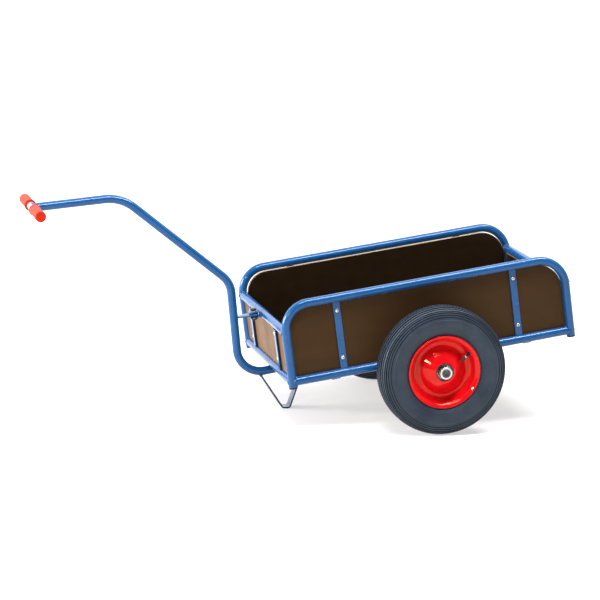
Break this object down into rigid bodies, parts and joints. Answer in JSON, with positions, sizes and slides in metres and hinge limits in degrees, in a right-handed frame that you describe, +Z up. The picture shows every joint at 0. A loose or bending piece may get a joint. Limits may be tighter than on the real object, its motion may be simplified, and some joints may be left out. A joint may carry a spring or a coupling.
{
  "type": "garden cart",
  "caption": "Garden hand cart: an open plywood box in a blue tube frame on pneumatic wheels, with a fixed drawbar, a T handle with two grips and a V-shaped parking stand.",
  "frame": {"origin": "middle of the bounding box at the floor: the wheels and the stand rest on Z = 0", "axes": "+X to the rear of the cart (the T handle is at -X), +Y to its right-hand side, +Z up"},
  "size_m": [1.6861, 0.876, 0.6837],
  "materials": {
    "blue_paint": "gloss powder coat",
    "red_enamel": "high gloss",
    "zinc_plate": "bright zinc plate",
    "bright_steel": "ground steel, oiled",
    "dark_steel": "blackened cut steel",
    "tyre_rubber": "matte with a slight sheen",
    "black_plastic": "satin",
    "grip_plastic": "soft satin",
    "plywood": "brown phenolic film over birch plywood, satin"
  },
  "bodies": {
    "cart": {"anchor_bolt": "zinc_plate", "axle": "dark_steel", "axle_bracket_left": "blue_paint", "axle_bracket_right": "blue_paint", "axle_channel": "blue_paint", "axle_spacer_left": "zinc_plate", "axle_spacer_right": "zinc_plate", "drawbar": "blue_paint", "drawbar_clevis": "blue_paint", "drawbar_strut": "blue_paint", "end_bar_front_left": "blue_paint", "end_bar_front_right": "blue_paint", "end_bar_rear_left": "blue_paint", "end_bar_rear_right": "blue_paint", "end_panel_front": "plywood", "end_panel_rear": "plywood", "floor_bearer_front": "blue_paint", "floor_bearer_rear": "blue_paint", "floor_panel": "plywood", "front_rail_lower": "blue_paint", "front_rail_upper": "blue_paint", "grip_left": "grip_plastic", "grip_right": "grip_plastic", "handle_crossbar": "zinc_plate", "leg_plug_front_left": "black_plastic", "leg_plug_front_right": "black_plastic", "leg_plug_rear_left": "black_plastic", "leg_plug_rear_right": "black_plastic", "pivot_bolt": "zinc_plate", "rear_rail_lower": "blue_paint", "rear_rail_upper": "blue_paint", "set_collar_left": "zinc_plate", "set_collar_right": "zinc_plate", "side_bar_left_front": "blue_paint", "side_bar_left_rear": "blue_paint", "side_bar_right_front": "blue_paint", "side_bar_right_rear": "blue_paint", "side_frame_left": "blue_paint", "side_frame_right": "blue_paint", "side_panel_left": "plywood", "side_panel_right": "plywood", "side_rail_left": "blue_paint", "side_rail_right": "blue_paint", "stand": "blue_paint"},
    "wheel_left": {"bearing_inner_left": "bright_steel", "bearing_outer_left": "bright_steel", "hub_left": "bright_steel", "rim_left": "red_enamel", "tyre_left": "tyre_rubber", "valve_left": "black_plastic"},
    "wheel_right": {"bearing_inner_right": "bright_steel", "bearing_outer_right": "bright_steel", "hub_right": "bright_steel", "rim_right": "red_enamel", "tyre_right": "tyre_rubber", "valve_right": "black_plastic"}
  },
  "joints": [
    {"name": "wheel_left_spin", "type": "hinge", "parent": "cart", "child": "wheel_left", "pos_m": [0.38719, -0.378, 0.2], "axis": [0, 1, 0], "continuous": true},
    {"name": "wheel_right_spin", "type": "hinge", "parent": "cart", "child": "wheel_right", "pos_m": [0.38719, 0.378, 0.2], "axis": [0, 1, 0], "continuous": true}
  ]
}
